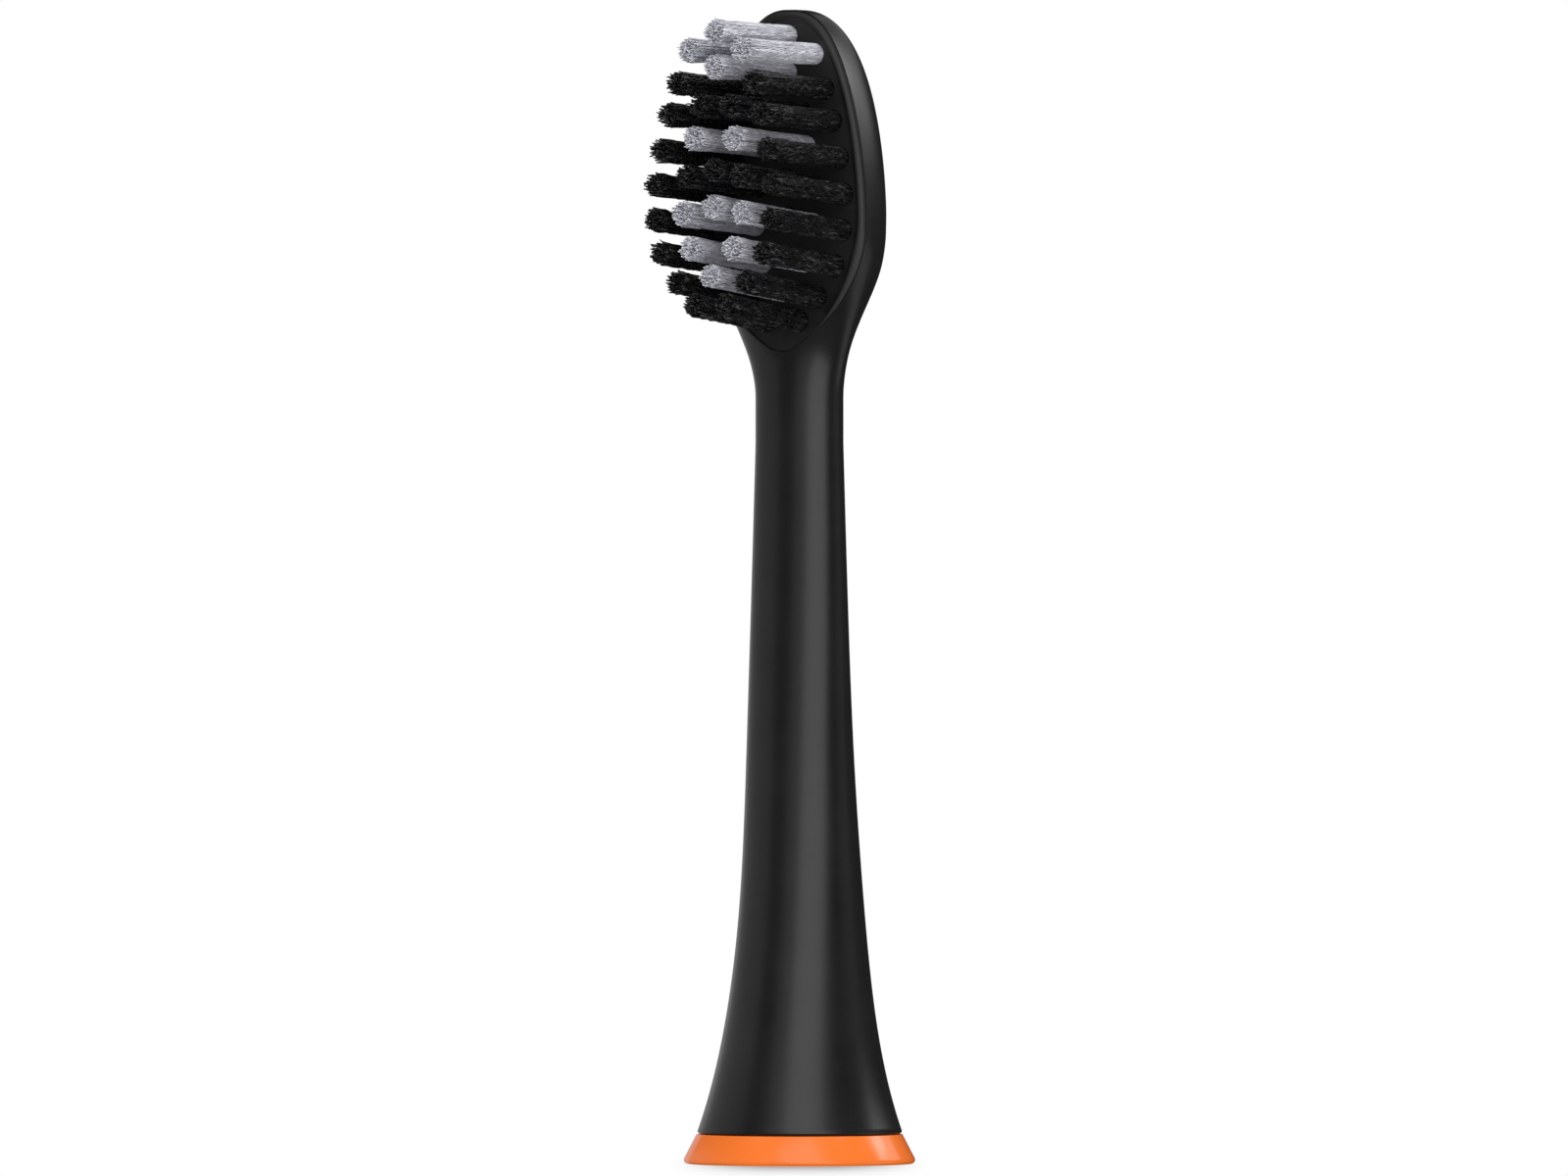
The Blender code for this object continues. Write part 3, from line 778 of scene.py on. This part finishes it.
def add_hole(holes, node):
    """Adds a tuft's hole to the cutter: straight, with a slightly broken edge at the front."""
    root, direction = tuft_axis(node)
    side = Vector((1, 0, 0))
    up = direction.cross(side)
    stations = (
        (-3 * MM, HOLE_RADIUS),
        (-0.03 * MM, HOLE_RADIUS),
        (0.0, HOLE_RADIUS + 0.02 * MM),
        (0.3 * MM, HOLE_RADIUS + 0.22 * MM),
    )
    angles = [2 * math.pi * i / HOLE_SIDES for i in range(HOLE_SIDES)]
    loops = []
    for distance, radius in stations:
        centre = root + direction * distance
        loops.append([centre + radius * (side * math.cos(a) + up * math.sin(a)) for a in angles])
    one = lofted(loops)
    bmesh.ops.recalc_face_normals(one, faces=one.faces)
    mesh = bpy.data.meshes.new("hole")
    one.to_mesh(mesh)
    one.free()
    holes.from_mesh(mesh)
    bpy.data.meshes.remove(mesh)


def make_plate(material, tufts):
    plate = mesh_object("bristle_field", oval_solid(plate_rings()), material, sharp_angle=50)
    holes = bmesh.new()
    for node in tufts:
        add_hole(holes, node)
    cut(plate, mesh_object("cutter_holes", holes))
    plate.data.set_sharp_from_angle(angle=math.radians(50))
    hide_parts("bristle_plate")
    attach(plate, HEAD_BODY)


def strand_stations(draw, spot, bends, crimp, start, length, radius):
    """(distance, sideways offset, radius, shade) along one filament, a zigzag with lean and splay. The
    shade is the filament's own tone at its ends, and in between mostly random dashes of painted glint.
    """
    lean = Vector((draw.gauss(0, 0.045), draw.gauss(0, 0.045))) * MM
    outward = spot.normalized()
    across = Vector((-outward.y, outward.x))
    turn = draw.uniform(0, 1)
    side = draw.choice((-1, 1))
    shade = draw.random()
    stations = [(start, spot, radius, shade)]
    for i in range(bends):
        share = (i + turn) / bends
        kick = across * side * draw.uniform(0.6, 1.3) + outward * draw.uniform(-0.8, 0.6)
        side = -side
        bent = spot * (1 + SPLAY * share ** 2) + lean * share ** 2
        offset = bent + kick * CRIMP * crimp * min(1.0, 6 * share)
        # Painted glint: most of each station's shade is random, so the colour along the filament
        # breaks into light dashes that stand in for light catching the crimp.
        glint = mix(shade, draw.random(), 0.75)
        stations.append((share * (length - CRIMP_TOP_GAP), offset, radius, glint))
    fray = outward * draw.uniform(-0.3, 1.0) + across * draw.uniform(-1, 1)
    fray = fray * draw.choice(FRAYS) * MM
    end = spot * (1 + SPLAY) + lean
    stations.append((length - 0.30 * MM, end + fray * 0.3, radius, shade))
    stations.append((length - 0.06 * MM, end + fray * 0.85, radius * 0.92, shade))
    stations.append((length, end + fray, radius * 0.6, shade))
    return stations


def add_strand(bm, tone_and_glint_layer, axes, stations):
    root, direction, side, up = axes
    rings = []
    for distance, offset, radius, shade in stations:
        centre = root + direction * distance + side * offset.x + up * offset.y
        ring = []
        for k in range(STRAND_SIDES):
            a = 2 * math.pi * k / STRAND_SIDES
            vert = bm.verts.new(centre + radius * (side * math.cos(a) + up * math.sin(a)))
            vert[tone_and_glint_layer] = shade
            ring.append(vert)
        rings.append(ring)
    for first, second in zip(rings, rings[1:]):
        bridge(bm, first, second)
    bm.faces.new(rings[-1])
    bm.faces.new(rings[0][::-1])


def add_foot(bm, axes, start):
    """The melted foot: a flat button with a rounded edge behind the plate."""
    root, direction, side, up = axes
    rings = []
    angles = [2 * math.pi * k / FOOT_SIDES for k in range(FOOT_SIDES)]
    for distance, share in FOOT_PROFILE:
        centre = root + direction * (start + distance * MM)
        radius = FOOT_RADIUS * share
        points = [centre + radius * (side * math.cos(a) + up * math.sin(a)) for a in angles]
        rings.append(loop_of(bm, points))
    for first, second in zip(rings, rings[1:]):
        bridge(bm, first, second)
    bm.faces.new(rings[0])
    bm.faces.new(rings[-1])


def make_tuft(node, index, material, layers, radius):
    """A bundle of filaments along the CAD rod's axis, with trimmed ends and a melted foot."""
    draw = random.Random(SEED + index)
    root, direction = tuft_axis(node)
    side = Vector((1, 0, 0))
    axes = (root, direction, side, direction.cross(side).normalized())
    bm = bmesh.new()
    # The strand attribute carries each filament's own tone and the painted glints along it.
    tone_and_glint_layer = bm.verts.layers.float.new("strand")
    foot_start = -(PLATE_BACK - RIM_HEIGHT + FOOT_GAP)
    for count, distance, bends, crimp in layers:
        turn = draw.uniform(0, 2 * math.pi)
        for i in range(count):
            angle = turn + 2 * math.pi * (i + draw.uniform(-0.2, 0.2)) / count
            spot = Vector((math.cos(angle), math.sin(angle)))
            spot = spot * (distance + draw.uniform(-0.02, 0.02)) * MM
            edge = (distance / TUFT_RADIUS_MM) ** 4
            trim = draw.uniform(-0.22, 0.08) - draw.uniform(-0.05, 0.38) * edge
            length = TUFT_LENGTH + trim * MM
            start = foot_start - FOOT_OVERLAP
            stations = strand_stations(draw, spot, bends, crimp, start, length, radius)
            add_strand(bm, tone_and_glint_layer, axes, stations)
    add_foot(bm, axes, foot_start)
    tuft = mesh_object(node.replace("tuft_", "bristles_"), bm, material, sharp_angle=80)
    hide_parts(node)
    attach(tuft, HEAD_BODY)


# ---- ring ----------------------------------------------------------------------------------------

def arc(cx, cz, radius, start, end, steps):
    angles = [math.radians(mix(start, end, i / steps)) for i in range(steps + 1)]
    return [(cx + radius * math.cos(a), cz + radius * math.sin(a)) for a in angles]


def make_ring(material):
    _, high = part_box(RING_BODY)
    outer = high.x
    collar_top = high.z
    cone_angle = math.degrees(math.atan2(RING_TOP - RING_FILLET, outer - RING_TOP_RADIUS))
    profile = [(RING_BORE + RING_FOOT_BEVEL, 0.0), (outer - 1.6 * RING_FILLET, 0.0)]
    profile += arc(outer - RING_FILLET, RING_FILLET, RING_FILLET, -90, 90 - cone_angle, 10)
    profile += arc(RING_TOP_RADIUS - RING_LIP, RING_TOP - RING_LIP, RING_LIP, 90 - cone_angle, 90, 5)
    profile += [(COLLAR_RADIUS + COLLAR_ROOT, RING_TOP), (COLLAR_RADIUS, RING_TOP + COLLAR_ROOT)]
    bead_bottom = collar_top - 1.5 * BEAD_HEIGHT
    for i in range(7):
        bulge = SNAP_BEAD * math.sin(math.pi * i / 6)
        profile.append((COLLAR_RADIUS + bulge, bead_bottom + BEAD_HEIGHT * i / 6))
    profile += [
        (COLLAR_RADIUS - COLLAR_BEVEL, collar_top),
        (RING_BORE + BORE_BEVEL, collar_top),
        (RING_BORE, collar_top - BORE_BEVEL),
        (RING_BORE, RING_FOOT_BEVEL),
    ]
    ring = mesh_object("snap_ring", turned(profile, RING_SIDES), material, sharp_angle=50)
    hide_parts("colour_ring")
    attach(ring, RING_BODY)


# ---- stage, lights and camera --------------------------------------------------------------------

def around(azimuth, distance, height):
    """A point on a circle round the object. Azimuth counts from the camera's, rightwards."""
    a = math.radians(VIEW_AZIMUTH + azimuth)
    return Vector((math.sin(a) * distance, -math.cos(a) * distance, height))


def aim(obj, target):
    direction = target - obj.location
    obj.rotation_mode = "QUATERNION"
    obj.rotation_quaternion = direction.to_track_quat("-Z", "Y")


def softbox(name, azimuths, elevations, radiance, roll):
    """A vertical soft light that covers a range of directions as seen from the object, in degrees."""
    azimuth = sum(azimuths) / 2
    width = 2 * LIGHT_DISTANCE * math.tan(math.radians(azimuths[1] - azimuths[0]) / 2)
    bottom, top = [LIGHT_CENTRE_Z + LIGHT_DISTANCE * math.tan(math.radians(e)) for e in elevations]
    light = bpy.data.lights.new(name, "AREA")
    light.shape = "RECTANGLE"
    light.size = width
    light.size_y = top - bottom
    light.energy = radiance * math.pi * width * (top - bottom)
    obj = bpy.data.objects.new(name, light)
    height = (bottom + top) / 2
    obj.location = around(azimuth, LIGHT_DISTANCE, height)
    bpy.context.scene.collection.objects.link(obj)
    aim(obj, Vector((0, 0, height)))
    obj.rotation_quaternion = obj.rotation_quaternion @ Quaternion((0, 0, 1), math.radians(roll))
    obj.visible_camera = False
    return obj


def make_lights():
    for values in SOFTBOXES:
        softbox(*values)
    top = softbox(*TOP_LIGHT)
    top.location = around(0, *TOP_LIGHT_PLACE)
    aim(top, Vector((0, 0, LIGHT_CENTRE_Z)))


def backdrop_part(tree, strength):
    node = tree.nodes.new("ShaderNodeBackground")
    node.inputs["Color"].default_value = (1, 1, 1, 1)
    node.inputs["Strength"].default_value = strength
    return node.outputs["Background"]


def choice(tree, test, otherwise, chosen):
    node = tree.nodes.new("ShaderNodeMixShader")
    tree.links.new(test, node.inputs["Fac"])
    tree.links.new(otherwise, node.inputs[1])
    tree.links.new(chosen, node.inputs[2])
    return node.outputs["Shader"]


def make_backdrop():
    """White to the camera, a bright fill for matt surfaces, and dim in reflections."""
    world = bpy.data.worlds.new("studio")
    bpy.context.scene.world = world
    world.use_nodes = True
    tree = world.node_tree
    tree.nodes.remove(tree.nodes["Background"])
    ray = tree.nodes.new("ShaderNodeLightPath").outputs
    fill = backdrop_part(tree, BACKDROP_FILL)
    lit = choice(tree, ray["Is Diffuse Ray"], backdrop_part(tree, BACKDROP_REFLECTED), fill)
    seen = backdrop_part(tree, BACKDROP_SEEN)
    surface = choice(tree, ray["Is Camera Ray"], lit, seen)
    tree.links.new(surface, tree.nodes["World Output"].inputs["Surface"])


def shadow_material():
    """Clear, and darker where the foot ring shades the floor, outside the ring's own footprint."""
    m = Nodes("pale_floor")
    place = m.add("ShaderNodeMapping")
    place.inputs["Rotation"].default_value = (0, 0, math.radians(-VIEW_AZIMUTH))
    m.link(m.place(), "Object", place, "Vector")
    parts = m.add("ShaderNodeSeparateXYZ")
    m.link(place, "Vector", parts, "Vector")
    distance = m.add("ShaderNodeVectorMath", operation="LENGTH")
    m.link(place, "Vector", distance, 0)
    across = m.fade(parts, "X", SHADOW_HALF_WIDTH, SHADOW_CORE, "SMOOTHSTEP")
    along = m.fade(parts, "Y", SHADOW_LENGTH, SHADOW_START)
    falling = m.maths("POWER", along, "Result", SHADOW_POWER)
    outside = m.fade(distance, "Value", SHADOW_INNER - SHADOW_INNER_EDGE, SHADOW_INNER)
    shadow = m.product(falling, "Value", across, "Result")
    shadow = m.product(shadow, "Value", outside, "Result")
    light = m.span(shadow, "Value", 1.0, 1.0 - SHADOW_DEPTH)
    clear = m.add("ShaderNodeBsdfTransparent")
    m.link(light, "Result", clear, "Color")
    m.link(clear, "BSDF", m.tree.nodes["Material Output"], "Surface")
    m.tree.nodes.remove(m.shader)
    return m.material


def make_floor():
    """A sheet over the white backdrop that only the camera sees, with the ring's contact shadow.

    It is clear, so it doesn't hide the object's underside from below.
    """
    bm = bmesh.new()
    bmesh.ops.create_circle(bm, cap_ends=True, segments=96, radius=FLOOR_RADIUS)
    floor = mesh_object("floor", bm, shadow_material())
    floor.location.z = cad_low.z - FLOOR_DROP
    for ray in ("diffuse", "glossy", "transmission", "volume_scatter", "shadow"):
        setattr(floor, "visible_" + ray, False)


def make_camera():
    camera = bpy.data.cameras.new("camera")
    camera.sensor_width = SENSOR
    camera.lens = SENSOR * VIEW_DISTANCE / VIEW_WIDTH
    camera.clip_start = 0.05
    camera.clip_end = 20.0
    obj = bpy.data.objects.new("camera", camera)
    bpy.context.scene.collection.objects.link(obj)
    a = math.radians(VIEW_AZIMUTH)
    target = Vector((-math.cos(a) * VIEW_LEFT_SHIFT, -math.sin(a) * VIEW_LEFT_SHIFT, VIEW_HEIGHT_Z))
    obj.location = target + around(0, VIEW_DISTANCE, 0.0)
    aim(obj, target)
    bpy.context.scene.camera = obj


def main():
    bpy.context.scene.view_settings.view_transform = "Standard"
    make_camera()
    make_lights()
    make_backdrop()
    make_floor()
    materials = make_materials()
    tufts = sorted(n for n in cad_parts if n.startswith("tuft_"))
    make_body(materials["body"])
    make_plate(materials["plate"], tufts)
    for index, node in enumerate(tufts):
        slot = "silver_bristle" if "silver" in node else "black_bristle"
        layers = SILVER_LAYERS if "silver" in node else BLACK_LAYERS
        radius = SILVER_RADIUS if "silver" in node else BLACK_RADIUS
        make_tuft(node, index, materials[slot], layers, radius)
    make_ring(materials["ring"])
    for node, slot in (("drive_socket", "socket"), ("shaft_clip", "clip")):
        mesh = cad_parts[node].data
        mesh.materials.clear()
        mesh.materials.append(materials[slot])


main()
